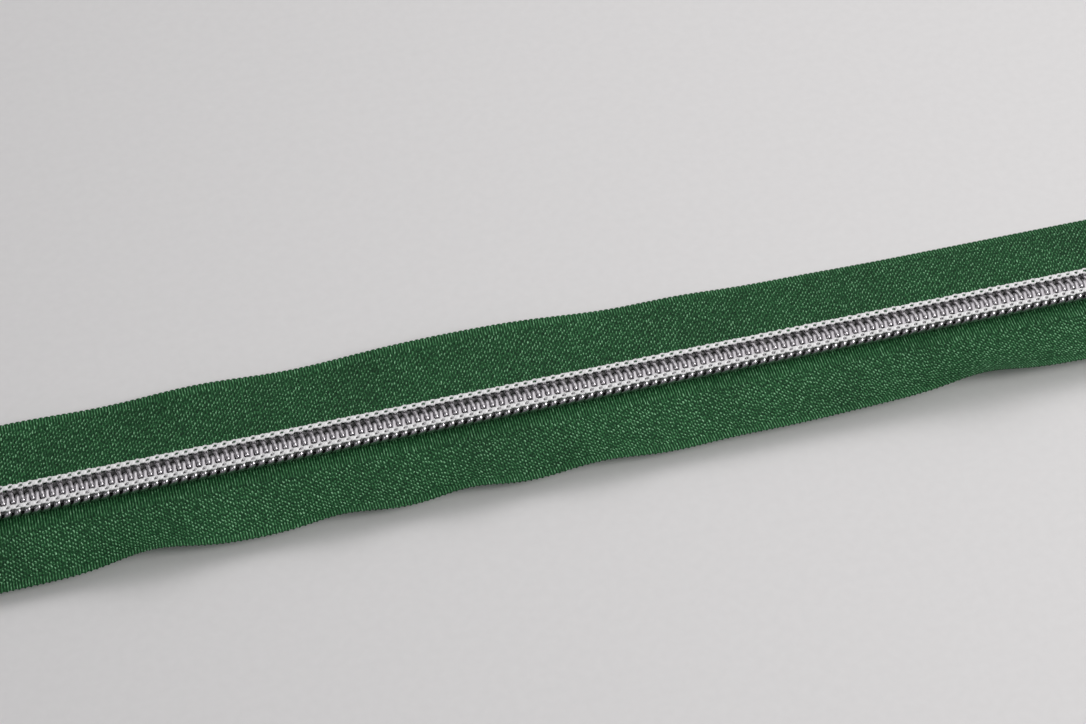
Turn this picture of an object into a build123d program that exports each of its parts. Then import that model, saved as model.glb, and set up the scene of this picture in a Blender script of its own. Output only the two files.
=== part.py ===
from build123d import *
from math import asin, ceil, degrees, exp, hypot, sqrt
import os

os.makedirs("parts", exist_ok=True)

# A closed-end nylon coil zipper, lying closed on a table. Millimetres. +X runs
# along the chain towards the slider and the top end, +Y is the left tape, +Z is
# up, and the origin is under the middle of the zipper, on the table.

# Tapes
TAPE_END = 130.0             # half the tapes' length
TAPE_WIDTH = 14.5            # one tape
TAPE_THICKNESS = 0.6
TAPE_INNER_EDGE = 0.4        # each tape's inner edge, from the chain's centre line
TAPE_UNDERSIDE = 1.2         # the tape's height beside the chain, which the slider sets
TAPE_FLAT_WIDTH = 4.5        # this much of each tape lies level beside the chain
OUTER_EDGE_HEIGHT = 0.05     # the outer edge's usual height
FLEX_X = -103.0              # the tapes bend apart here when the slider is at the bottom
FLEX_GAP = 0.2

# Waves that lift the tapes' outer edges: place along X, height, half width
LEFT_WAVES = [
    (-80.0, 2.0, 15.0),
    (-53.0, 2.3, 13.0),
    (-24.0, 2.3, 16.0),
    (-4.0, 2.1, 15.0),
    (21.0, 1.0, 10.0),
    (39.0, 0.3, 10.0),
]
RIGHT_WAVES = [
    (-46.5, 2.3, 90.0),
    (-63.5, 2.5, 7.3),
    (-36.5, 1.5, 6.1),
    (-18.0, 1.7, 6.1),
    (1.3, 1.6, 7.8),
    (21.0, 0.5, 7.5),
    (59.5, 1.8, 6.7),
    (68.5, 3.7, 41.6),
]

# Coils: each is one filament wound into a flat spring and sewn to its tape
PITCH = 1.4
FILAMENT = 0.56
COIL_HEIGHT = 1.95
HEAD_REACH = 1.0             # how far a coupling head reaches past the centre line
HEEL_REACH = 2.65            # how far the coil's back lies from the centre line
COIL_START = -109.4          # the first turn
TURNS = 157
CORE_CORD = 0.7
CORE_CORD_Y = 1.55
THREAD_GAP = 0.12            # between the coil and the tape or thread it lies against

# Chain stitch on top of each coil, and the needle thread's row under each tape
STITCH_Y = 1.85
STITCH_WIDTH = 1.0
STITCH_THICKNESS = 0.28
STITCH_HOLE = 0.3
NEEDLE_ROW_WIDTH = 0.5
NEEDLE_ROW_THICKNESS = 0.16

# The slider, and the bend that its post puts in each side
SLIDER_REAR = 97.0
SLIDER_FRONT = 110.0
BEND_START = 98.5
BEND_END = 109.5
SPREAD = 2.3                 # how far each side is moved out at the slider's front
PLATE_THICKNESS = 0.8
PLATE_CORNER = 0.9
PLATE_ROUNDING = 0.35
CROWN_THICKNESS = 1.2
CROWN_ROUNDING = 0.45
CHANNEL_TOP = 4.45
RAIL_CLEARANCE = 0.3
RAIL_WIDTH = 0.9
RAIL_BOTTOM = 2.4
POST_CLEARANCE = 0.14

# Slider fittings
CAP_WIDTH = 2.6
CAP_REAR = 99.0
CAP_FRONT = 108.2
CAP_TOP = 8.5
CAP_METAL = 0.6
PAWL_WIDTH = 1.8
PAWL_METAL = 0.4
PAWL_BARREL = 0.56
PAWL_PIVOT_X = 106.6
CLAW_WIDTH = 0.5
CLAW_METAL = 0.45
CLAW_TIP = 3.65              # just below the tops of the left coil's legs
CLAW_INNER = 0.67            # the claw's near side, from the chain's centre line
CLAW_BEHIND_CAP = 1.6        # how far ahead of the cap's rear the claw is at most
CLAW_SLOT_CLEARANCE = 0.22
SPRING_WIDTH = 1.6
SPRING_METAL = 0.2
PULL_X = 103.2               # the pull's crossbar
PULL_Z = 7.2
PULL_THICKNESS = 1.1
PULL_LENGTH = 26.0           # from the crossbar's centre to the tip
PULL_EYE_WIDTH = 3.3
PULL_EYE_END = 5.4
PULL_NECK_WIDTH = 5.7
PULL_TIP_WIDTH = 7.4
PULL_HOLE = 3.2
PULL_DROOP = 7.5             # degrees below level, where the pull rests on the crown

# Stops
STOP_LENGTH = 3.6
STOP_BOTTOM = 0.5
STOP_TOP = 4.2
STOP_SLOT_CLEARANCE = 0.08

# Heights and radii that follow
TAPE_TOP = TAPE_UNDERSIDE + TAPE_THICKNESS
LOWER_LEG_Z = TAPE_TOP + THREAD_GAP + FILAMENT / 2
LEG_RISE = COIL_HEIGHT - FILAMENT
UPPER_LEG_Z = LOWER_LEG_Z + LEG_RISE
COIL_MIDDLE_Z = LOWER_LEG_Z + LEG_RISE / 2
COIL_TOP = UPPER_LEG_Z + FILAMENT / 2
HEAD_RADIUS = LEG_RISE / 2
HEEL_RADIUS = hypot(PITCH, LEG_RISE) / 2
HEAD_Y = HEAD_RADIUS + FILAMENT / 2 - HEAD_REACH
HEEL_Y = HEEL_REACH - FILAMENT / 2 - HEEL_RADIUS
STITCH_Z = COIL_TOP + THREAD_GAP
CROWN_TOP = CHANNEL_TOP + CROWN_THICKNESS
RAIL_INNER = HEEL_REACH + RAIL_CLEARANCE
RAIL_OUTER = RAIL_INNER + RAIL_WIDTH
BEND_MIDDLE = (BEND_START + BEND_END) / 2
BEND_RADIUS = ((BEND_END - BEND_START) ** 2 + SPREAD**2) / (4 * SPREAD)
CHAIN_START = COIL_START - PITCH / 2
CHAIN_END = COIL_START + (TURNS - 0.5) * PITCH + PITCH / 2


def spread(x):
    """How far the slider's post has moved a side out at x: an S of two equal arcs."""
    if x <= BEND_START:
        return 0.0
    if x <= BEND_MIDDLE:
        return BEND_RADIUS - sqrt(BEND_RADIUS**2 - (x - BEND_START) ** 2)
    if x <= BEND_END:
        return SPREAD - BEND_RADIUS + sqrt(BEND_RADIUS**2 - (BEND_END - x) ** 2)
    return SPREAD


def underside(x, across, waves):
    """The height of a tape's underside at x, at a distance across from its inner edge."""
    edge = OUTER_EDGE_HEIGHT
    edge += sum(h * exp(-(((x - place) / half_width) ** 2)) for place, h, half_width in waves)
    part_way = max(0.0, across - TAPE_FLAT_WIDTH) / (TAPE_WIDTH - TAPE_FLAT_WIDTH)
    return TAPE_UNDERSIDE + (edge - TAPE_UNDERSIDE) * part_way**2


def side_edges(offset, x_from, x_to):
    """Edges along +X that keep a distance from the left side's centre line."""

    def at(x):
        return (x, spread(x) + offset)

    bends = [x for x in (BEND_START, BEND_MIDDLE, BEND_END) if x_from < x < x_to]
    stations = [x_from, *bends, x_to]
    edges = []
    for a, b in zip(stations, stations[1:]):
        if b <= BEND_START or a >= BEND_END:
            edges.append(Edge.make_line(at(a), at(b)))
        else:
            edges.append(Edge.make_three_point_arc(at(a), at((a + b) / 2), at(b)))
    return edges


def strip_face(inner, outer, x_from, x_to, holes=()):
    """A flat strip on the left side, between two distances from the centre line."""
    ends = [
        Edge.make_line((x, spread(x) + inner), (x, spread(x) + outer)) for x in (x_from, x_to)
    ]
    outline = Wire(side_edges(inner, x_from, x_to) + side_edges(outer, x_from, x_to) + ends)
    return Face(outline, list(holes))


def strip(inner, outer, x_from, x_to, bottom, top, holes=()):
    face = strip_face(inner, outer, x_from, x_to, holes)
    return Pos(0, 0, bottom) * Solid.extrude(face, (0, 0, top - bottom))


def mirrored(solid):
    return solid.mirror(Plane.XZ)


def tube(ring, moves):
    """A closed tube: a circle pushed along straight runs and turned round arcs.

    A move is a vector, or an axis and an angle in degrees.
    """
    faces = [Face(Wire([ring]))]
    for move in moves:
        if isinstance(move, Vector):
            faces.append(Face.extrude(ring, move))
            ring = ring.moved(Location(move))
        else:
            axis, angle = move
            faces.append(Face.revolve(ring, angle, axis))
            ring = ring.rotate(axis, angle)
    faces.append(Face(Wire([ring])))
    return Solid(Shell(faces))


def coil(shift):
    """The left coil: level legs, upright arcs at the heads, leaning arcs at the heels."""
    lean = Vector(-LEG_RISE, 0, PITCH).normalized()
    turns = [COIL_START + shift + i * PITCH for i in reversed(range(TURNS))]
    start = Vector(turns[0], HEEL_Y + spread(turns[0]), LOWER_LEG_Z)
    ring = Edge.make_circle(FILAMENT / 2, Plane(start, x_dir=(1, 0, 0), z_dir=(0, -1, 0)))
    moves = []
    heel = start.Y
    for x in turns:
        head = HEAD_Y + spread(x)
        moves.append(Vector(0, head - heel, 0))
        moves.append((Axis((x, head, COIL_MIDDLE_Z), (-1, 0, 0)), 180))
        heel = HEEL_Y + spread(x)
        moves.append(Vector(0, heel - head, 0))
        middle = (x - PITCH / 2, heel, COIL_MIDDLE_Z)
        moves.append((Axis(middle, lean), 180))
    return tube(ring, moves[:-1])


def core_cord():
    """The cord inside the left coil, with the same S-bend as the coil."""
    length = BEND_START - CHAIN_START
    ring = Edge.make_circle(
        CORE_CORD / 2, Plane((CHAIN_START, CORE_CORD_Y, COIL_MIDDLE_Z), z_dir=(1, 0, 0))
    )
    turn = degrees(asin((BEND_MIDDLE - BEND_START) / BEND_RADIUS))
    out_centre = (BEND_START, CORE_CORD_Y + BEND_RADIUS, COIL_MIDDLE_Z)
    back_centre = (BEND_END, CORE_CORD_Y + SPREAD - BEND_RADIUS, COIL_MIDDLE_Z)
    moves = [
        Vector(length, 0, 0),
        (Axis(out_centre, (0, 0, 1)), turn),
        (Axis(back_centre, (0, 0, -1)), turn),
        Vector(CHAIN_END - BEND_END, 0, 0),
    ]
    return tube(ring, moves)


def chain_stitch():
    """The band of interlocked loops on the left coil, with one small hole a turn."""
    holes = []
    for turn in range(TURNS):
        x = COIL_START + turn * PITCH
        spot = Plane((x, STITCH_Y + spread(x), 0))
        holes.append(Wire([Edge.make_circle(STITCH_HOLE / 2, spot)]))
    half = STITCH_WIDTH / 2
    return strip(
        STITCH_Y - half,
        STITCH_Y + half,
        CHAIN_START,
        CHAIN_END,
        STITCH_Z,
        STITCH_Z + STITCH_THICKNESS,
        holes,
    )


def needle_row():
    """The needle thread's straight row of stitches, under the left tape."""
    top = TAPE_UNDERSIDE - THREAD_GAP
    half = NEEDLE_ROW_WIDTH / 2
    return strip(
        STITCH_Y - half, STITCH_Y + half, CHAIN_START, CHAIN_END, top - NEEDLE_ROW_THICKNESS, top
    )


def tape(side, x_from, x_to, waves):
    """One tape between two places along X. side is 1 for the left tape, -1 for the right."""
    spans = ceil((x_to - x_from) / 2.5)
    level = 3
    sloped = 7
    across = [TAPE_FLAT_WIDTH * i / level for i in range(level)]
    across += [
        TAPE_FLAT_WIDTH + (TAPE_WIDTH - TAPE_FLAT_WIDTH) * i / sloped for i in range(sloped + 1)
    ]
    rows = []
    for i in range(spans + 1):
        x = x_from + (x_to - x_from) * i / spans
        inner = TAPE_INNER_EDGE + spread(x)
        rows.append([Vector(x, side * (inner + v), underside(x, v, waves)) for v in across])
    sheet = Face.make_surface_from_array_of_points(rows, tol=0.01, min_deg=3, max_deg=5)
    return Solid.extrude(sheet, (0, 0, TAPE_THICKNESS))


def block(x_from, x_to, y_from, y_to, z_from, z_to):
    size = (x_to - x_from, y_to - y_from, z_to - z_from)
    middle = ((x_from + x_to) / 2, (y_from + y_to) / 2, (z_from + z_to) / 2)
    return Pos(*middle) * Box(*size)


def plate(bottom, thickness, rounding):
    """One of the slider's plates: narrow at the rear, with a shoulder on each side."""
    top_side = side_edges(RAIL_OUTER, SLIDER_REAR, SLIDER_FRONT)
    other_side = [edge.mirror(Plane.XZ) for edge in top_side]
    ends = []
    for x in (SLIDER_REAR, SLIDER_FRONT):
        y = spread(x) + RAIL_OUTER
        ends.append(Edge.make_line((x, -y), (x, y)))
    outline = Face(Wire(top_side + other_side + ends))
    solid = Pos(0, 0, bottom) * Solid.extrude(outline, (0, 0, thickness))
    upright = solid.edges().filter_by(Axis.Z)
    corners = upright.group_by(Axis.X)[0] + upright.group_by(Axis.X)[-1]
    solid = fillet(corners, PLATE_CORNER)
    outer_face = solid.faces().sort_by(Axis.Z)[-1 if bottom else 0]
    return fillet(outer_face.edges(), rounding)


def post():
    """The wedge between the plates that parts the two coils."""
    reach = HEAD_REACH + POST_CLEARANCE
    tip = BEND_START + sqrt(BEND_RADIUS**2 - (BEND_RADIUS - reach) ** 2)
    side = side_edges(-reach, tip, SLIDER_FRONT)
    other = [edge.mirror(Plane.XZ) for edge in side]
    front = spread(SLIDER_FRONT) - reach
    end = Edge.make_line((SLIDER_FRONT, -front), (SLIDER_FRONT, front))
    face = Face(Wire(side + other + [end]))
    height = CHANNEL_TOP - PLATE_THICKNESS
    return Pos(0, 0, PLATE_THICKNESS) * Solid.extrude(face, (0, 0, height))


def claw_place():
    """The middle of the gap between two of the left coil's legs that the claw drops into."""
    turns = round((CAP_REAR + CLAW_BEHIND_CAP - COIL_START) / PITCH - 0.5)
    return COIL_START + (turns + 0.5) * PITCH


CLAW_X = claw_place()


def slider_body():
    """The die-cast body: base plate, crown, side rails and post in one piece."""
    body = plate(0.0, PLATE_THICKNESS, PLATE_ROUNDING)
    body += plate(CHANNEL_TOP, CROWN_THICKNESS, CROWN_ROUNDING)
    body += post()
    inset = 0.3
    rail = strip(
        RAIL_INNER, RAIL_OUTER, SLIDER_REAR + inset, SLIDER_FRONT - inset, RAIL_BOTTOM, CHANNEL_TOP
    )
    body += rail
    body += mirrored(rail)
    slot = block(
        CLAW_X - CLAW_METAL / 2 - CLAW_SLOT_CLEARANCE,
        CLAW_X + CLAW_METAL / 2 + CLAW_SLOT_CLEARANCE,
        CLAW_INNER - CLAW_SLOT_CLEARANCE,
        CLAW_INNER + CLAW_WIDTH + CLAW_SLOT_CLEARANCE,
        CHANNEL_TOP - 0.1,
        CROWN_TOP + 0.1,
    )
    return body - slot


def slider_cap():
    """The stamped bridge over the crown that holds the pull's crossbar and the lock."""
    length = CAP_FRONT - CAP_REAR
    height = CAP_TOP - CROWN_TOP
    outer = Rectangle(length, height)
    outer = fillet(outer.vertices().group_by(Axis.Y)[-1], 1.3)
    inner = Pos(0, -CAP_METAL / 2) * Rectangle(length - 2 * CAP_METAL, height - CAP_METAL)
    inner = fillet(inner.vertices().group_by(Axis.Y)[-1], 0.7)
    middle = ((CAP_FRONT + CAP_REAR) / 2, 0, CROWN_TOP + height / 2)
    upright = Plane(middle, x_dir=(1, 0, 0), z_dir=(0, -1, 0))
    arch = extrude(upright * (outer - inner), CAP_WIDTH / 2, both=True)
    return fillet(arch.faces().sort_by(Axis.Z)[-1].edges().filter_by(Axis.X), 0.2)


def lock_pawl():
    """The lever that lies on the crown, with the claw that locks the chain."""
    low = CROWN_TOP + 0.1
    top = low + PAWL_METAL
    half = PAWL_WIDTH / 2
    rear = CLAW_X - CLAW_METAL / 2
    lever = block(rear, PAWL_PIVOT_X + 0.4, -half, half, low, top)
    lever = fillet(lever.edges().filter_by(Axis.Z), 0.2)
    claw = block(rear, rear + CLAW_METAL, CLAW_INNER, CLAW_INNER + CLAW_WIDTH, CLAW_TIP, top)
    pivot = Pos(PAWL_PIVOT_X, 0, CROWN_TOP + 0.04 + PAWL_BARREL / 2) * Rot(90, 0, 0)
    return lever + claw + pivot * Cylinder(PAWL_BARREL / 2, PAWL_WIDTH)


def lock_spring():
    """The leaf spring at the cap's front foot that presses the pawl down."""
    front = CAP_FRONT - CAP_METAL - 0.05
    bottom = CROWN_TOP + 0.75
    rear = PULL_X + PULL_THICKNESS / 2 + 0.7
    leaf = block(rear, front, -SPRING_WIDTH / 2, SPRING_WIDTH / 2, bottom, bottom + SPRING_METAL)
    riser = block(
        front - SPRING_METAL, front, -SPRING_WIDTH / 2, SPRING_WIDTH / 2, bottom, bottom + 1.1
    )
    return leaf + riser


def pull_tab():
    """The pull: a crossbar under the cap, an eye that clears it, and a tapering grip."""
    half_neck = PULL_NECK_WIDTH / 2
    half_tip = PULL_TIP_WIDTH / 2
    half_waist = half_neck - 0.35
    waist = PULL_EYE_END + 1.6
    tip_start = PULL_LENGTH - half_tip
    outline = Polyline(
        (0, -half_neck),
        (waist, -half_waist),
        (tip_start, -half_tip),
        (tip_start, half_tip),
        (waist, half_waist),
        (0, half_neck),
        close=True,
    )
    grip = make_face(outline)
    grip += Pos(tip_start, 0) * Circle(half_tip)
    eye = Pos(PULL_EYE_END / 2, 0) * Rectangle(PULL_EYE_END, PULL_EYE_WIDTH)
    grip -= fillet(eye.vertices().group_by(Axis.X)[-1], 0.5)
    grip -= Pos(tip_start, 0) * Circle(PULL_HOLE / 2)
    solid = extrude(grip, PULL_THICKNESS / 2, both=True)
    rims = [face.outer_wire().edges() for face in solid.faces().filter_by(Axis.Z)]
    round_rims = [edge for rim in rims for edge in rim.filter_by(GeomType.CIRCLE)]
    solid = chamfer(round_rims, 0.15)
    solid += Rot(90, 0, 0) * Cylinder(PULL_THICKNESS / 2, PULL_NECK_WIDTH)
    return Pos(PULL_X, 0, PULL_Z) * Rot(0, PULL_DROOP, 0) * solid


def stop(x_from, y_from, y_to, slots):
    """A clamp pressed on to the tape's edge, with a slot for the tape."""
    solid = block(x_from, x_from + STOP_LENGTH, y_from, y_to, STOP_BOTTOM, STOP_TOP)
    solid = fillet(solid.edges(), 0.4)
    bottom = TAPE_UNDERSIDE - STOP_SLOT_CLEARANCE
    top = TAPE_TOP + STOP_SLOT_CLEARANCE
    for low, high in slots:
        solid -= block(x_from - 1, x_from + STOP_LENGTH + 1, low, high, bottom, top)
    return solid


def top_stop():
    inner = SPREAD + TAPE_INNER_EDGE - STOP_SLOT_CLEARANCE
    return stop(SLIDER_FRONT + 0.5, inner - 0.9, SPREAD + HEEL_REACH, [(inner, inner + 9)])


def bottom_stop():
    reach = HEEL_REACH + 0.45
    inner = TAPE_INNER_EDGE - STOP_SLOT_CLEARANCE
    slots = [(inner, reach + 1), (-reach - 1, -inner)]
    return stop(CHAIN_START - 0.3 - STOP_LENGTH, -reach, reach, slots)


left_coil = coil(0.0)
right_coil = mirrored(coil(PITCH / 2))
cord = core_cord()
stitch = chain_stitch()
needle = needle_row()
stop_piece = top_stop()
nodes = {
    "left_tape": tape(1, FLEX_X + FLEX_GAP / 2, TAPE_END, LEFT_WAVES),
    "right_tape": tape(-1, FLEX_X + FLEX_GAP / 2, TAPE_END, RIGHT_WAVES),
    "left_tape_lower_end": tape(1, -TAPE_END, FLEX_X - FLEX_GAP / 2, LEFT_WAVES),
    "right_tape_lower_end": tape(-1, -TAPE_END, FLEX_X - FLEX_GAP / 2, RIGHT_WAVES),
    "left_coil": left_coil,
    "right_coil": right_coil,
    "left_core_cord": cord,
    "right_core_cord": mirrored(cord),
    "left_chain_stitch": stitch,
    "right_chain_stitch": mirrored(stitch),
    "left_needle_thread": needle,
    "right_needle_thread": mirrored(needle),
    "left_top_stop": stop_piece,
    "right_top_stop": mirrored(stop_piece),
    "bottom_stop": bottom_stop(),
    "slider_body": slider_body(),
    "slider_cap": slider_cap(),
    "lock_pawl": lock_pawl(),
    "lock_spring": lock_spring(),
    "pull_tab": pull_tab(),
}
for name, solid in nodes.items():
    export_step(solid, f"parts/{name}.step")
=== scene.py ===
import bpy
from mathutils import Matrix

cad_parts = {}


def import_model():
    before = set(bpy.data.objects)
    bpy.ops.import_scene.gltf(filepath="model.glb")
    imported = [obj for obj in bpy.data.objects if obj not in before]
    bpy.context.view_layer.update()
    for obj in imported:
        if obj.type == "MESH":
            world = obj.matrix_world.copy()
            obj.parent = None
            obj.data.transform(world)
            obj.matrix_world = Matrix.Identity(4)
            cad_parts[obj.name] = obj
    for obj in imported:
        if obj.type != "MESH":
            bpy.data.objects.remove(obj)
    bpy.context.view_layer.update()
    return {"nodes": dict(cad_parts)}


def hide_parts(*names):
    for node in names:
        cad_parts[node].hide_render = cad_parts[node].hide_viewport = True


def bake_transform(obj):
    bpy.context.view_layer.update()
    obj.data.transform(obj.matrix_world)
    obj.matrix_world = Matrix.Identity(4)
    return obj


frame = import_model()

import math

import bpy
import numpy as np
from mathutils import Vector

# Lengths below are in millimetres, in the row frame, and become metres when a mesh is made.
MM = 0.001
RNG = np.random.default_rng(7)

# The zipper's driving sizes, as in the CAD model. Left is +Y, and the closed end is at -X.
PITCH = 1.4
TURNS = 157
COIL_START = -109.4
CHAIN_START = COIL_START - PITCH / 2
CHAIN_END = COIL_START + TURNS * PITCH
TAPE_END = 130.0
TAPE_WIDTH = 14.5
TAPE_INNER_EDGE = 0.4
TAPE_UNDERSIDE = 1.2
TAPE_THICKNESS = 0.6
TAPE_FLAT_WIDTH = 4.5
OUTER_EDGE_HEIGHT = 0.05
TAPE_TOP = TAPE_UNDERSIDE + TAPE_THICKNESS
# Waves in a tape's outer edge: where along x, how high, and how wide
LEFT_WAVES = [
    (-80.0, 2.0, 15.0),
    (-53.0, 2.3, 13.0),
    (-24.0, 2.3, 16.0),
    (-4.0, 2.1, 15.0),
    (21.0, 1.0, 10.0),
    (39.0, 0.3, 10.0),
]
RIGHT_WAVES = [
    (-46.5, 2.3, 90.0),
    (-63.5, 2.5, 7.3),
    (-36.5, 1.5, 6.1),
    (-18.0, 1.7, 6.1),
    (1.3, 1.6, 7.8),
    (21.0, 0.5, 7.5),
    (59.5, 1.8, 6.7),
    (68.5, 3.7, 41.6),
]
# Where the slider's post spreads the two sides, and where they bend when the zipper opens
BEND_START = 98.5
BEND_END = 109.5
SPREAD = 2.3

# The coil's path and its filament
COIL_HEIGHT = 1.95
LOWEST_COIL = TAPE_TOP + 0.12
FILAMENT_THICKNESS = 0.58
FILAMENT_WIDTH = 0.70
HEAD_REACH = 0.97
HEEL_REACH = 2.63
HEEL_DEPTH = 0.85
UPPER_LEAN = 0.16
LOWER_LEAN = 0.12
HEAD_BULGE = 0.16
HEEL_BULGE = 0.40
LEG_TILT = 0.20
HEAD_BULGE_DEGREES = 45
HEAD_SAMPLES = 9
HEEL_SAMPLES = 10
LOWER_LEG_SHARES = (0.0, 0.35, 0.7)
UPPER_LEG_SHARES = (0.15, 0.35, 0.55, 0.75, 0.9)
COIL_SEGMENTS = 12

# The chain stitch: an eye, a link and a pass down through the eye for each turn
STITCH_Y = 1.81
STITCH_THREAD = 0.31
STITCH_WIDTH = 1.09
STITCH_SINK = 0.05
EYE_LENGTH = 0.84
EYE_SHIFT = -0.08
EYE_LEAN = 0.12
EYE_TILT = 0.03
LINK_LENGTH = 0.88
LINK_WIDTH = 0.86
LINK_HEIGHT = 0.38
LINK_TILT = 0.03
LINK_LIFT = 0.05
PASS_LENGTH = 0.70
PASS_WIDTH = 0.52
PASS_DROP = 0.2

# How unevenly it is sewn, as standard deviations in millimetres or shares
SEWN_ALONG = 0.03
SEWN_ACROSS = 0.02
SEWN_UP = 0.012
SEWN_SHAPE = 0.05

# A thread has two plies, so its pattern repeats twice a turn
PLY_ANGLE = 6.2832 * 2

# The other threads
CORE_CORD = 0.7
CORE_CORD_Y = 1.55
CORD_STRANDS = 3
CORD_GROOVE = 0.10
CORD_TWIST = 2.4
NEEDLE_THREAD = 0.3
NEEDLE_SINK = 0.55
NEEDLE_DIP = 0.22

# The weave: ribs across the tape, whole on its borders and broken into floats between them
RIB_PITCH = PITCH / 3.33
RIB_HEIGHT = 0.15
BORDER_RIB = 0.82
INNER_BORDER = 4.2
OUTER_BORDER = 13.0
FLOAT_LENGTH = 0.84
FLOAT_STAGGER = 0.42
FLOAT_SWAY = 0.12
FLOAT_LOWEST = 0.34
FLOAT_RANGE = 0.66
FLOAT_TALLEST = 1.2
ROWS_PER_FLOAT = 5
BETWEEN_RIBS = 0.2
SELVEDGE_WIDTH = 0.35
SELVEDGE_DROP = 0.16
RIBS_PER_SCALLOP = 2
SCALLOP_DEPTH = 0.22
UNDER_RIB_DEPTH = 0.05
UNDER_RIDGE = 0.8

# How unevenly it is woven, as standard deviations
WOVEN_STAGGER = 0.12
WOVEN_PHASE = 0.07
WOVEN_FLOAT = 0.26
WOVEN_BORDER = 0.06
WOVEN_SWAY = 0.2


def spread(x):
    """How far the slider's post has moved each side out at x: an S of two equal arcs."""
    x = np.asarray(x, float)
    middle = (BEND_START + BEND_END) / 2
    radius = ((BEND_END - BEND_START) ** 2 + SPREAD**2) / (4 * SPREAD)
    from_start = np.clip(x - BEND_START, 0, middle - BEND_START)
    to_end = np.clip(BEND_END - x, 0, BEND_END - middle)
    rising = radius - np.sqrt(radius**2 - from_start**2)
    falling = SPREAD - radius + np.sqrt(radius**2 - to_end**2)
    return np.where(x <= middle, rising, falling)


def underside(x, across, waves):
    """The height of a tape's underside at x, at a distance across from its inner edge."""
    edge = OUTER_EDGE_HEIGHT + sum(h * np.exp(-(((x - at) / w) ** 2)) for at, h, w in waves)
    share = np.clip(across - TAPE_FLAT_WIDTH, 0, None) / (TAPE_WIDTH - TAPE_FLAT_WIDTH)
    return TAPE_UNDERSIDE + (edge - TAPE_UNDERSIDE) * share**2


def smooth_step(value, low, high):
    """0 up to low, 1 from high on, and smooth between them."""
    t = np.clip((value - low) / (high - low), 0, 1)
    return t * t * (3 - 2 * t)


# ---------------------------------------------------------------- mesh helpers


def make_mesh(name, points, faces, uv=None, ridge=None, sharp_degrees=None):
    """An object from points in millimetres and faces, with a uv and a ridge value per point."""
    mesh = bpy.data.meshes.new(name)
    mesh.from_pydata((np.asarray(points) * MM).tolist(), [], [list(map(int, f)) for f in faces])
    mesh.update()
    if uv is not None:
        corner_points = np.zeros(len(mesh.loops), dtype=np.int32)
        mesh.loops.foreach_get("vertex_index", corner_points)
        layer = mesh.uv_layers.new(name="cloth")
        layer.data.foreach_set("uv", np.asarray(uv, np.float32)[corner_points].ravel())
    if ridge is not None:
        attribute = mesh.attributes.new("ridge", "FLOAT", "POINT")
        attribute.data.foreach_set("value", np.asarray(ridge, np.float32))
    mesh.shade_smooth()
    if sharp_degrees:
        mesh.set_sharp_from_angle(angle=math.radians(sharp_degrees))
    obj = bpy.data.objects.new(name, mesh)
    bpy.context.scene.collection.objects.link(obj)
    return obj


def tube_rings(path, reference, half_a, half_b, segments):
    """Rings of points round a path: half_a across the path along reference, half_b across both."""
    tangent = np.gradient(path, axis=0)
    tangent /= np.linalg.norm(tangent, axis=1)[:, None]
    a = reference - (tangent @ reference)[:, None] * tangent
    a /= np.linalg.norm(a, axis=1)[:, None]
    b = np.cross(tangent, a)
    angle = np.linspace(0, 2 * np.pi, segments, endpoint=False)
    half_a = np.broadcast_to(half_a, len(path))[:, None, None]
    half_b = np.broadcast_to(half_b, len(path))[:, None, None]
    ring = half_a * np.cos(angle)[None, :, None] * a[:, None, :]
    ring = ring + half_b * np.sin(angle)[None, :, None] * b[:, None, :]
    return path[:, None, :] + ring


def tube_faces(count, segments, closed, start=0):
    """Quads between rings of points, with a cap at each end of an open tube."""
    rows = count if closed else count - 1
    i, j = np.meshgrid(np.arange(rows), np.arange(segments), indexing="ij")
    following = (i + 1) % count
    beside = (j + 1) % segments
    near, far = i * segments, following * segments
    quads = np.stack([near + j, near + beside, far + beside, far + j], axis=-1).reshape(-1, 4)
    faces = [list(q) for q in quads + start]
    if not closed:
        faces.append([start + k for k in reversed(range(segments))])
        faces.append([start + (count - 1) * segments + k for k in range(segments)])
    return faces


def tube_uv(path, segments):
    """Along the path in millimetres, and round it from 0 to 1."""
    steps = np.linalg.norm(np.diff(path, axis=0), axis=1)
    along = np.concatenate([[0], np.cumsum(steps)])
    round_it = np.linspace(0, 1, segments, endpoint=False)
    return np.stack(np.meshgrid(along, round_it, indexing="ij"), axis=-1).reshape(-1, 2)


# ---------------------------------------------------------------- material helpers


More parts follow.
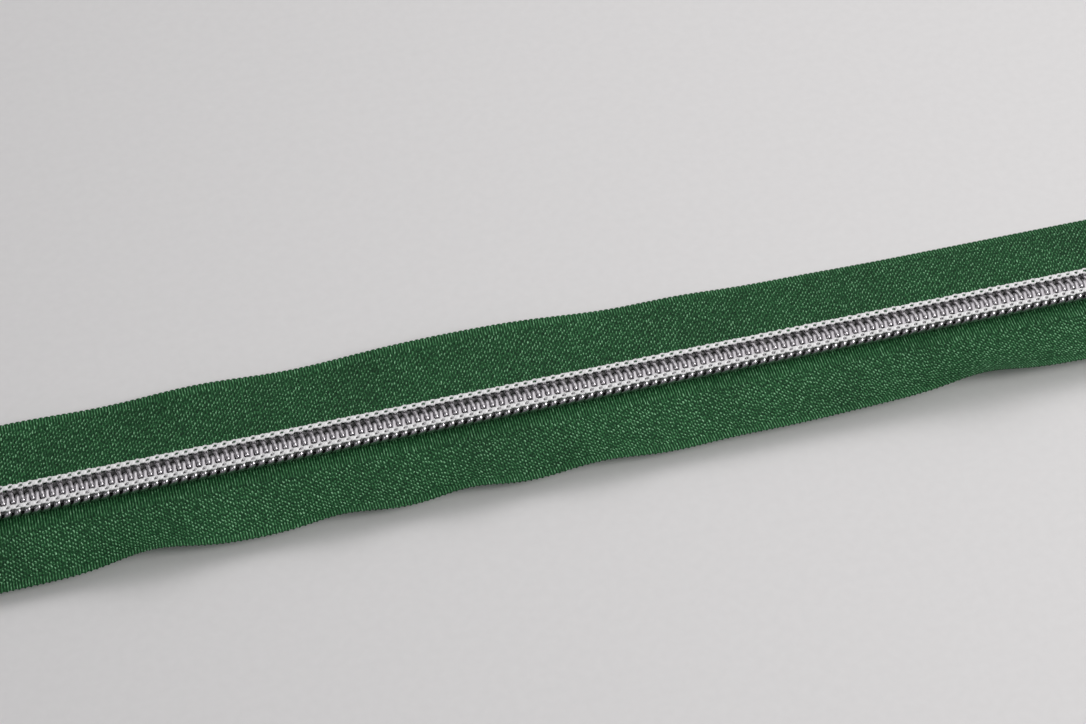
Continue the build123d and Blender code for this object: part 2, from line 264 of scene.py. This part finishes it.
class Nodes:
    """A short way to write a node material."""

    def __init__(self, name):
        self.material = bpy.data.materials.new(name)
        self.material.use_nodes = True
        self.tree = self.material.node_tree
        self.shader = self.tree.nodes["Principled BSDF"]

    def add(self, kind, settings=None, **inputs):
        """A node of a kind, with its settings, and its inputs with _ for a space in a name."""
        node = self.tree.nodes.new(kind)
        for key, value in (settings or {}).items():
            setattr(node, key, value)
        for key, value in inputs.items():
            self.put(node, key.replace("_", " "), value)
        return node

    def put(self, node, key, value):
        """Links a socket to an input, or sets the input to a plain value."""
        socket = node.inputs[int(key)] if key.isdigit() else node.inputs[key]
        if isinstance(value, bpy.types.NodeSocket):
            self.tree.links.new(value, socket)
        else:
            socket.default_value = value

    def math(self, operation, a, b=0.0):
        """The result of an operation on one or two values, each a socket or a number."""
        node = self.tree.nodes.new("ShaderNodeMath")
        node.operation = operation
        self.put(node, "0", a)
        self.put(node, "1", b)
        return node.outputs[0]

    def ramp(self, value, stops):
        """A colour for a value, from stops of (value, colour)."""
        node = self.tree.nodes.new("ShaderNodeValToRGB")
        elements = node.color_ramp.elements
        while len(elements) < len(stops):
            elements.new(0.5)
        for element, (place, colour) in zip(elements, stops):
            element.position = place
            element.color = (*colour, 1)
        self.put(node, "Fac", value)
        return node.outputs["Color"]

    def scalar_ramp(self, value, stops):
        """A level for a value, from stops of (value, level)."""
        return self.ramp(value, [(place, (level,) * 3) for place, level in stops])

    def mix(self, share, a, b, blend="MIX"):
        """Two colours mixed: the node's colour sockets are its inputs 6 and 7 and its output 2."""
        node = self.tree.nodes.new("ShaderNodeMix")
        node.data_type = "RGBA"
        node.blend_type = blend
        for index, value in ((0, share), (6, a), (7, b)):
            if isinstance(value, bpy.types.NodeSocket):
                self.tree.links.new(value, node.inputs[index])
            else:
                node.inputs[index].default_value = value if index == 0 else (*value, 1)
        return node.outputs[2]

    def noise(self, vector, scale, detail=2.0, roughness=0.5):
        node = self.add(
            "ShaderNodeTexNoise", Vector=vector, Scale=scale, Detail=detail, Roughness=roughness
        )
        return node.outputs["Fac"]

    def stretched(self, vector, scale, rotation=(0.0, 0.0, 0.0)):
        node = self.add("ShaderNodeMapping", Vector=vector, Rotation=rotation, Scale=scale)
        return node.outputs["Vector"]

    def painted_shade_by_openness(self, distance, stops):
        """Painted shade for hollows: a level from how open a point is, by the share of rays of this
        length that hit nothing.
        """
        node = self.add("ShaderNodeAmbientOcclusion", {"samples": 6}, Distance=distance)
        return self.scalar_ramp(node.outputs["AO"], stops)

    def around_half(self, value, amount):
        """A noise turned into a change of up to half of amount, up or down."""
        return self.math("MULTIPLY", self.math("SUBTRACT", value, 0.5), amount)

    def weighted(self, a, weight_a, b, weight_b):
        return self.math("ADD", self.math("MULTIPLY", a, weight_a), self.math("MULTIPLY", b, weight_b))

    def bump(self, height, strength, distance):
        node = self.add("ShaderNodeBump", Height=height, Strength=strength, Distance=distance)
        self.tree.links.new(node.outputs["Normal"], self.shader.inputs["Normal"])

    def set(self, **values):
        for key, value in values.items():
            self.put(self.shader, key.replace("_", " "), value)

    def object_place(self):
        return self.add("ShaderNodeTexCoord").outputs["Object"]

    def cloth_place(self):
        return self.add("ShaderNodeUVMap", {"uv_map": "cloth"}).outputs["UV"]


def tape_material():
    """Dark green polyester with a soft sheen. Its colour paints the relief's light: painted shade in
    the deep green hollows and a painted highlight on the ridges.
    """
    n = Nodes("tape_weave")
    uv = n.cloth_place()
    ridge = n.add("ShaderNodeAttribute", {"attribute_name": "ridge"}).outputs["Fac"]
    patches = n.noise(n.object_place(), 90.0, 3.0)
    fibres = n.noise(n.stretched(uv, (9.0, 1.6, 1.0)), 1.0, 3.0, 0.6)
    # Painted glints: short streaks of noise that lighten and darken the colour of the ribs
    painted_glint = n.noise(n.stretched(uv, (4.2, 1.7, 1.0), (0, 0, 0.5)), 1.0, 1.0)
    level = n.math("ADD", ridge, n.around_half(fibres, 0.8))
    level = n.math("ADD", level, n.around_half(painted_glint, 0.9))
    # This ramp paints light and shade on the relief: dark painted shade in the hollows, the plain
    # green on the flanks and a pale painted highlight on the crests
    yarn_and_painted_light = n.ramp(
        level,
        [
            (0.0, (0.003, 0.024, 0.008)),
            (0.42, (0.012, 0.072, 0.024)),
            (0.76, (0.060, 0.215, 0.084)),
            (1.0, (0.280, 0.550, 0.330)),
        ],
    )
    shade = n.ramp(patches, [(0.3, (0.86, 0.88, 0.86)), (0.7, (1.1, 1.1, 1.08))])
    n.set(
        Base_Color=n.mix(1.0, yarn_and_painted_light, shade, "MULTIPLY"),
        Roughness=0.6,
        Specular_IOR_Level=0.16,
    )
    n.bump(n.weighted(fibres, 0.6, ridge, 0.4), 0.55, 0.00008)
    return n.material


def coil_material():
    """Silver metallised filament: cool grey with a faint violet cast, drawn lines, and painted shade
    in its hollows.
    """
    n = Nodes("coil_silver")
    drawn = n.noise(n.stretched(n.cloth_place(), (0.6, 14.0, 1.0)), 1.0, 2.0)
    mottle = n.noise(n.object_place(), 900.0, 2.0)
    # Painted shade: in the coil's hollows the colour is darkened to 42 per cent
    painted_hollow_shade = n.painted_shade_by_openness(0.0009, [(0.08, 0.42), (0.45, 1.0)])
    silver = n.ramp(drawn, [(0.3, (0.40, 0.38, 0.405)), (0.7, (0.62, 0.60, 0.62))])
    n.set(
        Base_Color=n.mix(1.0, silver, painted_hollow_shade, "MULTIPLY"),
        Metallic=1.0,
        Roughness=n.scalar_ramp(mottle, [(0.3, 0.2), (0.7, 0.3)]),
    )
    n.bump(drawn, 0.12, 0.00001)
    return n.material


def thread_material(name, dark, light, twist, deep=1.0):
    """Spun sewing thread: plies that wind round it with painted shade in the grooves between them, a
    little fuzz, and painted shade in its hollows.

    twist is in turns a millimetre, and deep is the share of the colour left in a hollow by the painted
    shade.
    """
    n = Nodes(name)
    parts = n.add("ShaderNodeSeparateXYZ", Vector=n.cloth_place())
    wound = n.math("MULTIPLY", parts.outputs["X"], twist)
    turn = n.math("MULTIPLY", n.math("ADD", wound, parts.outputs["Y"]), PLY_ANGLE)
    ply = n.math("ADD", n.math("MULTIPLY", n.math("SINE", turn), 0.5), 0.5)
    fuzz = n.noise(n.object_place(), 6000.0, 3.0)
    level = n.weighted(ply, 0.7, fuzz, 0.3)
    # The ply stripes are painted shade in the grooves between the plies
    colour = n.ramp(level, [(0.1, dark), (0.75, light)])
    # Painted shade: in hollows the colour keeps only the share deep
    painted_hollow_shade = n.painted_shade_by_openness(0.0006, [(0.1, deep), (0.42, 1.0)])
    n.set(
        Base_Color=n.mix(1.0, colour, painted_hollow_shade, "MULTIPLY"),
        Roughness=0.75,
        Sheen_Weight=0.3,
        Specular_IOR_Level=0.3,
    )
    n.bump(level, 0.5, 0.00004)
    return n.material


def metal_material(name, dark, light, rough_low, rough_high, grain=(400.0, 400.0, 400.0)):
    """Plated or bare metal: small changes of tone and gloss, and its sharp edges lighter."""
    n = Nodes(name)
    place = n.object_place()
    tone = n.noise(n.stretched(place, grain), 1.0, 2.0, 0.45)
    pits = n.noise(place, 2500.0, 2.0)
    edge = n.add("ShaderNodeNewGeometry").outputs["Pointiness"]
    # Sharp edges, found by pointiness, are coloured 15 per cent lighter
    sharp_edge = n.scalar_ramp(edge, [(0.5, 0.0), (0.56, 1.0)])
    plain = n.ramp(tone, [(0.3, dark), (0.7, light)])
    bright = tuple(min(1.0, c * 1.15) for c in light)
    n.set(
        Base_Color=n.mix(sharp_edge, plain, bright),
        Metallic=1.0,
        Roughness=n.scalar_ramp(tone, [(0.3, rough_low), (0.7, rough_high)]),
    )
    n.bump(pits, 0.08, 0.00003)
    return n.material


def floor_material():
    """Pale matt paper with a faint speck."""
    n = Nodes("floor_paper")
    speck = n.noise(n.object_place(), 700.0, 4.0)
    n.set(
        Base_Color=n.ramp(speck, [(0.2, (0.755, 0.745, 0.745)), (0.8, (0.785, 0.775, 0.775))]),
        Roughness=0.85,
        Specular_IOR_Level=0.2,
    )
    n.bump(speck, 0.05, 0.0001)
    return n.material


# ---------------------------------------------------------------- tapes


def tape_rows():
    """Distances from the tape's inner edge: few on its plain borders, many on its middle."""
    inner = [0.0, 0.15, 1.2, 2.2, 3.0, 3.6]
    middle = list(np.arange(INNER_BORDER, OUTER_BORDER, FLOAT_LENGTH / ROWS_PER_FLOAT))
    outer = [13.3, 13.8, 14.1, 14.35, TAPE_WIDTH]
    return np.array(inner + middle + outer)


def weave_height(x_index, across):
    """How proud each rib stands, 0 to 1, and how far it sways to the side.

    The odd columns of points are the ribs' crests and the even ones the hollows between them.
    """
    crest = (x_index % 2).astype(float)[:, None]
    rib = x_index // 2
    shape = (len(x_index), len(across))
    stagger = FLOAT_STAGGER * rib + RNG.normal(0, WOVEN_STAGGER, rib.max() + 1)[rib]
    wander = RNG.normal(0, WOVEN_PHASE, shape)
    angle = 2 * np.pi * (across[None, :] / FLOAT_LENGTH + stagger[:, None] + wander)
    wave = 0.5 + 0.5 * np.cos(angle)
    uneven = 1 + RNG.normal(0, WOVEN_FLOAT, shape)
    floats = np.clip((FLOAT_LOWEST + FLOAT_RANGE * wave) * uneven, 0, FLOAT_TALLEST)
    middle = smooth_step(across, INNER_BORDER - 0.5, INNER_BORDER + 0.3)
    middle = middle * (1 - smooth_step(across, OUTER_BORDER - 0.3, OUTER_BORDER + 0.5))
    border_rib = BORDER_RIB * (1 + RNG.normal(0, WOVEN_BORDER, shape))
    height = crest * ((1 - middle) * border_rib + middle * floats)
    between = (1 - crest) * middle * BETWEEN_RIBS * (1 - wave)
    slant = np.sin(angle) + RNG.normal(0, WOVEN_SWAY, shape)
    return height + between, crest * middle * FLOAT_SWAY * slant


def tape(name, side, waves):
    """One woven tape as a closed sheet, with its ribs and floats as real relief."""
    ribs = 2 * round(TAPE_END / RIB_PITCH)
    xs = np.linspace(-TAPE_END, TAPE_END, 2 * ribs + 1)
    x_index = np.arange(len(xs))
    rows = tape_rows()
    height, sway = weave_height(x_index, rows)
    x_grid = np.repeat(xs[:, None], len(rows), 1)
    across = np.repeat(rows[None, :], len(xs), 0)

    # The outer edge is rounded, and scalloped by the turns of the weft
    selvedge = smooth_step(rows, TAPE_WIDTH - SELVEDGE_WIDTH, TAPE_WIDTH)[None, :]
    dip = 0.5 + 0.5 * np.cos(np.pi * x_index / RIBS_PER_SCALLOP)
    scallop = -SCALLOP_DEPTH * dip[:, None] * selvedge
    rounding = SELVEDGE_DROP * selvedge

    inner = TAPE_INNER_EDGE + spread(xs)
    y_top = side * (inner[:, None] + across + scallop)
    low = underside(x_grid, across, waves)
    body = TAPE_THICKNESS - RIB_HEIGHT
    z_top = low + body + RIB_HEIGHT * height - rounding
    top = np.stack([x_grid + sway, y_top, z_top], -1).reshape(-1, 3)

    # The underside has only a few of the rows
    keep = np.array([0, 3, 6, 20, 34, len(rows) - 3, len(rows) - 1])
    lift = UNDER_RIB_DEPTH * (x_index % 2)[:, None] + rounding[:, keep]
    bottom = np.stack([x_grid[:, keep], y_top[:, keep], low[:, keep] + lift], -1).reshape(-1, 3)
    uv_top = np.stack([x_grid, across], -1).reshape(-1, 2)
    uv_bottom = np.stack([x_grid[:, keep], across[:, keep]], -1).reshape(-1, 2)
    under_ridge = np.repeat((x_index % 2)[:, None] * UNDER_RIDGE, len(keep), 1)

    points = np.concatenate([top, bottom])
    uv = np.concatenate([uv_top, uv_bottom])
    ridge = np.concatenate([height.ravel(), under_ridge.ravel()])
    faces = grid_faces(len(xs), len(rows), 0, side < 0)
    faces += grid_faces(len(xs), len(keep), len(top), side > 0)
    faces += tape_walls(len(xs), len(rows), keep, side)
    return make_mesh(name, points, faces, uv, ridge, sharp_degrees=75)


def grid_faces(columns, rows, start, flip):
    """Quads over a grid of points whose first point is number start."""
    i, j = np.meshgrid(np.arange(columns - 1), np.arange(rows - 1), indexing="ij")
    a = start + i * rows + j
    quads = np.stack([a, a + rows, a + rows + 1, a + 1], -1).reshape(-1, 4)
    if flip:
        quads = quads[:, ::-1]
    return quads.tolist()


def tape_walls(columns, rows, keep, side):
    """The tape's two long edges and its two cut ends, between all rows above and keep below."""
    under = columns * rows
    under_rows = len(keep)
    faces = []
    for top_row, under_row, flip in ((0, 0, side > 0), (rows - 1, under_rows - 1, side < 0)):
        for i in range(columns - 1):
            a = i * rows + top_row
            b = (i + 1) * rows + top_row
            c = under + (i + 1) * under_rows + under_row
            d = under + i * under_rows + under_row
            quad = [a, d, c, b]
            faces.append(quad if flip else quad[::-1])
    for i, flip in ((0, side < 0), (columns - 1, side > 0)):
        for k in range(under_rows - 1):
            span = [i * rows + j for j in range(keep[k], keep[k + 1] + 1)]
            below = [under + i * under_rows + k + 1, under + i * under_rows + k]
            end_face = span + below
            faces.append(end_face if flip else end_face[::-1])
    return faces


# ---------------------------------------------------------------- coils and threads


def coil_turn():
    """One turn of the left coil about its own x: sideways shift, y, z and extra width.

    It runs from the lower leg round the head, back along the upper leg and down the heel,
    and the heel ends one pitch nearer the zipper's lower end.
    """
    radius = (COIL_HEIGHT - FILAMENT_THICKNESS) / 2
    middle_z = LOWEST_COIL + COIL_HEIGHT / 2
    head_y = radius + FILAMENT_THICKNESS / 2 - HEAD_REACH
    heel_y = HEEL_REACH - FILAMENT_THICKNESS / 2 - HEEL_DEPTH
    turn = []
    for share in LOWER_LEG_SHARES:
        y = heel_y + (head_y - heel_y) * share
        turn.append((LOWER_LEAN * (1 - share), y, middle_z - radius, 0))
    for angle in np.radians(np.linspace(-90, 90, HEAD_SAMPLES)):
        bulge = HEAD_BULGE * math.exp(-((angle / math.radians(HEAD_BULGE_DEGREES)) ** 2))
        y = head_y - radius * math.cos(angle)
        turn.append((0, y, middle_z + radius * math.sin(angle), bulge))
    for share in UPPER_LEG_SHARES:
        swell = HEEL_BULGE * 0.9 * smooth_step(share, 0.3, 0.85)
        y = head_y + (heel_y - head_y) * share
        turn.append((-UPPER_LEAN * share, y, middle_z + radius - LEG_TILT * share, swell))
    drop = PITCH - UPPER_LEAN - LOWER_LEAN
    for angle in np.radians(np.linspace(0, 180, HEEL_SAMPLES + 1)[:-1]):
        # Most of the way to the next turn is made in the lower half of the heel
        share = 0.45 * (0.5 - 0.5 * math.cos(angle)) + 0.55 * smooth_step(angle, 1.6, math.pi)
        swell = HEEL_BULGE * (0.9 + 0.1 * math.sin(angle)) * (1 - 0.6 * share)
        y = heel_y + HEEL_DEPTH * math.sin(angle)
        z = middle_z + radius * math.cos(angle) - LEG_TILT * (0.5 + 0.5 * math.cos(angle))
        turn.append((-UPPER_LEAN - drop * share, y, z, swell))
    return np.array(turn)


def coil(name, side, shift):
    """One side's coil: a single filament through all its turns, wider at the heads and heels."""
    turn = coil_turn()
    starts = COIL_START + shift + PITCH * np.arange(TURNS)[::-1]
    path = np.concatenate(
        [np.column_stack([x + turn[:, 0], turn[:, 1] + spread(x), turn[:, 2]]) for x in starts]
    )
    wide = FILAMENT_WIDTH / 2 * (1 + np.tile(turn[:, 3], TURNS))
    # The last heel is left out, so the filament ends on its upper leg as a cut end
    path, wide = path[:-HEEL_SAMPLES], wide[:-HEEL_SAMPLES]
    path[:, 1] *= side
    across = np.array([1.0, 0, 0])
    rings = tube_rings(path, across, wide, FILAMENT_THICKNESS / 2, COIL_SEGMENTS)
    return tube_mesh(name, path, rings, COIL_SEGMENTS)


def tube_mesh(name, path, rings, segments):
    """An open tube as an object, from its path and its rings of points."""
    faces = tube_faces(len(path), segments, False)
    return make_mesh(name, rings.reshape(-1, 3), faces, tube_uv(path, segments))


def chain_stitch(name, side, shift):
    """The chain stitch on top of a coil.

    There is a round eye of thread for each turn, the pass of the thread down through the eye,
    and a thick link from each eye to the next, where the loops run through each other.
    """
    eye_samples = 18
    link_samples = 9
    segments = 8
    angle = np.linspace(0, 2 * np.pi, eye_samples, endpoint=False)
    eye_x = EYE_LENGTH / 2 * np.cos(angle)
    eye_y = (STITCH_WIDTH - STITCH_THREAD) / 2 * np.sin(angle)
    share = np.linspace(-0.97, 0.97, link_samples)
    rounding = np.sqrt(1 - share**6)
    low = LOWEST_COIL + COIL_HEIGHT + STITCH_THREAD / 2 - STITCH_SINK
    up = np.array([0.0, 0, 1])
    along = np.array([1.0, 0, 0])
    points, faces, uvs = [], [], []

    def add(path, rings, closed):
        start = sum(len(part) for part in points)
        faces.extend(tube_faces(len(path), segments, closed, start))
        points.append(rings.reshape(-1, 3))
        uvs.append(tube_uv(path, segments))

    for turn in range(TURNS):
        x = COIL_START + shift + turn * PITCH + EYE_SHIFT + RNG.normal(0, SEWN_ALONG)
        lean = EYE_LEAN + RNG.normal(0, SEWN_SHAPE)
        swell = 1 + RNG.normal(0, SEWN_SHAPE)
        px = x + eye_x + lean * eye_y * side
        py = STITCH_Y + spread(px) + eye_y * swell + RNG.normal(0, SEWN_ACROSS)
        pz = low + RNG.normal(0, SEWN_UP) + EYE_TILT * np.cos(angle)
        path = np.column_stack([px, py * side, pz])
        # One point more at each end, so that the first and last rings are square to the eye
        around = np.vstack([path[-1], path, path[0]])
        half = STITCH_THREAD / 2 * (1 + RNG.normal(0, SEWN_SHAPE))
        add(path, tube_rings(around, up, half, half, segments)[1:-1], True)

        pass_z = low - PASS_DROP - PASS_LENGTH / 2
        middle = np.array([x, side * (STITCH_Y + float(spread(x))), pass_z])
        path = middle + np.outer(share, up) * PASS_LENGTH / 2
        half = PASS_WIDTH / 2 * rounding
        add(path, tube_rings(path, along, half, half, segments), False)

        if turn == TURNS - 1:
            continue
        px = x + PITCH / 2 + LINK_LENGTH / 2 * share
        py = STITCH_Y + spread(px) + RNG.normal(0, SEWN_ACROSS) + LINK_TILT * share * side
        path = np.column_stack([px, py * side, low + LINK_LIFT - LINK_TILT * share])
        wide = LINK_WIDTH / 2 * rounding * (1 + RNG.normal(0, SEWN_SHAPE))
        add(path, tube_rings(path, up, LINK_HEIGHT / 2 * rounding, wide, segments), False)
    return make_mesh(name, np.concatenate(points), faces, np.concatenate(uvs))


def needle_thread(name, side):
    """The straight row of stitches under a tape, which dips into the cloth once a turn."""
    per_turn = 8
    segments = 8
    x = np.linspace(CHAIN_START, CHAIN_END, TURNS * per_turn + 1)
    dip = np.abs(np.cos(np.pi * (x - COIL_START) / PITCH)) ** 6
    z = TAPE_UNDERSIDE - NEEDLE_THREAD * NEEDLE_SINK + NEEDLE_DIP * dip
    path = np.column_stack([x, side * (STITCH_Y + spread(x)), z])
    up = np.array([0.0, 0, 1])
    rings = tube_rings(path, up, NEEDLE_THREAD / 2, NEEDLE_THREAD / 2, segments)
    return tube_mesh(name, path, rings, segments)


def core_cord(name, side):
    """The cord that fills the coil, with three strands that wind round each other."""
    per_mm = 5
    segments = 12
    x = np.linspace(CHAIN_START, CHAIN_END, int((CHAIN_END - CHAIN_START) * per_mm))
    z = np.full_like(x, LOWEST_COIL + COIL_HEIGHT / 2)
    path = np.column_stack([x, side * (CORE_CORD_Y + spread(x)), z])
    up = np.array([0.0, 0, 1])
    rings = tube_rings(path, up, CORE_CORD / 2, CORE_CORD / 2, segments)
    angle = np.linspace(0, 2 * np.pi, segments, endpoint=False)
    strand = np.cos(CORD_STRANDS * angle[None, :] - CORD_TWIST * x[:, None])
    strands = 1 - CORD_GROOVE * (0.5 + 0.5 * strand)
    rings = path[:, None, :] + (rings - path[:, None, :]) * strands[:, :, None]
    return tube_mesh(name, path, rings, segments)


# ---------------------------------------------------------------- the zipper


def place(obj, material, slot, side_name, nodes):
    """Gives a soft piece its material, and hides the model's parts that it stands in for."""
    obj.data.materials.append(material)
    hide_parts(*nodes)
    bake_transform(obj)


tape_look = tape_material()
coil_look = coil_material()
# The white thread keeps 12 per cent of its colour in hollows: strong painted shade in the stitch eyes
# and between the loops
white_thread = thread_material("white_thread", (0.74, 0.735, 0.74), (0.97, 0.965, 0.97), 0.9, 0.12)
dark_cord = thread_material("core_cord_fibre", (0.10, 0.10, 0.10), (0.25, 0.25, 0.25), 0.4)

# The right coil is half a pitch on from the left one, so that their heads mesh
for side_name, side, waves, shift in (
    ("left", 1, LEFT_WAVES, 0.0),
    ("right", -1, RIGHT_WAVES, PITCH / 2),
):
    cloth = tape(f"{side_name}_woven_tape", side, waves)
    place(cloth, tape_look, "tape", side_name, [f"{side_name}_tape", f"{side_name}_tape_lower_end"])
    wire = coil(f"{side_name}_coil_filament", side, shift)
    place(wire, coil_look, "coil", side_name, [f"{side_name}_coil"])
    loops = chain_stitch(f"{side_name}_stitch_loops", side, shift)
    place(loops, white_thread, "stitch_thread", side_name, [f"{side_name}_chain_stitch"])
    under = needle_thread(f"{side_name}_needle_stitches", side)
    place(under, white_thread, "stitch_thread", side_name, [f"{side_name}_needle_thread"])
    cord = core_cord(f"{side_name}_cord_strands", side)
    place(cord, dark_cord, "core_cord", side_name, [f"{side_name}_core_cord"])

die_cast = metal_material("die_cast_nickel", (0.57, 0.56, 0.57), (0.66, 0.65, 0.66), 0.22, 0.30)
stamped = metal_material("stamped_nickel", (0.59, 0.58, 0.58), (0.68, 0.67, 0.67), 0.17, 0.24)
spring_steel = metal_material(
    "spring_steel", (0.38, 0.38, 0.40), (0.55, 0.55, 0.56), 0.22, 0.36, (200, 2500, 2500)
)
stop_metal = metal_material("stop_aluminium", (0.55, 0.55, 0.56), (0.72, 0.72, 0.73), 0.28, 0.42)
node_looks = {
    "slider_body": die_cast,
    "pull_tab": die_cast,
    "slider_cap": stamped,
    "lock_pawl": spring_steel,
    "lock_spring": spring_steel,
    "left_top_stop": stop_metal,
    "right_top_stop": stop_metal,
    "bottom_stop": stop_metal,
}
for node, look in node_looks.items():
    slots = frame["nodes"][node].data.materials
    slots.clear()
    slots.append(look)


# ---------------------------------------------------------------- floor, light and camera


def floor():
    """The flat pale table, three metres across."""
    half_size = 1500.0
    cells = 12
    line = np.linspace(-half_size, half_size, cells + 1)
    x, y = np.meshgrid(line, line, indexing="ij")
    points = np.stack([x, y, np.zeros_like(x)], -1).reshape(-1, 3)
    obj = make_mesh("floor", points, grid_faces(cells + 1, cells + 1, 0, False))
    obj.data.materials.append(floor_material())


def area_light(name, place_mm, target_mm, size_mm, watts, colour):
    """A soft rectangular light that faces a target."""
    data = bpy.data.lights.new(name, "AREA")
    data.shape = "RECTANGLE"
    data.size, data.size_y = (s * MM for s in size_mm)
    data.energy = watts
    data.color = colour
    obj = bpy.data.objects.new(name, data)
    obj.location = Vector(place_mm) * MM
    aim = Vector(target_mm) - Vector(place_mm)
    obj.rotation_euler = aim.to_track_quat("-Z", "Y").to_euler()
    bpy.context.scene.collection.objects.link(obj)


def camera():
    """Looks 50 degrees down at the chain over its right tape, from 372 mm away."""
    heading = math.radians(14.67)
    elevation = math.radians(49.9)
    distance = 372.2
    target = Vector((-2.0, 6.3, 2.6))
    ahead = Vector(
        (
            math.sin(heading) * math.cos(elevation),
            math.cos(heading) * math.cos(elevation),
            -math.sin(elevation),
        )
    )
    data = bpy.data.cameras.new("camera")
    data.sensor_width = 36.0
    data.lens = 82.9
    data.clip_start = 0.01
    data.clip_end = 20.0
    obj = bpy.data.objects.new("camera", data)
    obj.location = (target - ahead * distance) * MM
    obj.rotation_euler = ahead.to_track_quat("-Z", "Y").to_euler()
    bpy.context.scene.collection.objects.link(obj)
    bpy.context.scene.camera = obj


def world():
    """Dim, even light from all round."""
    made = bpy.data.worlds.new("studio")
    made.use_nodes = True
    background = made.node_tree.nodes["Background"]
    background.inputs["Color"].default_value = (0.96, 0.97, 1.0, 1)
    background.inputs["Strength"].default_value = 0.22
    bpy.context.scene.world = made


floor()
world()
area_light("overhead_softbox", (90, 110, 250), (60, 75, 0), (430, 430), 0.36, (1.0, 0.985, 0.98))
area_light("overhead_rear", (110, 300, 590), (10, 0, 0), (900, 450), 0.6, (1.0, 0.99, 0.99))
area_light("key", (360, -300, 420), (0, 0, 0), (200, 200), 1.5, (1.0, 0.985, 0.975))
area_light("left_fill", (-240, -330, 380), (0, 0, 0), (90, 90), 0.14, (0.98, 0.985, 1.0))
area_light("right_strip", (600, 300, 170), (0, 60, 0), (900, 200), 0.6, (1.0, 0.985, 0.97))
camera()
bpy.context.scene.view_settings.view_transform = "Standard"
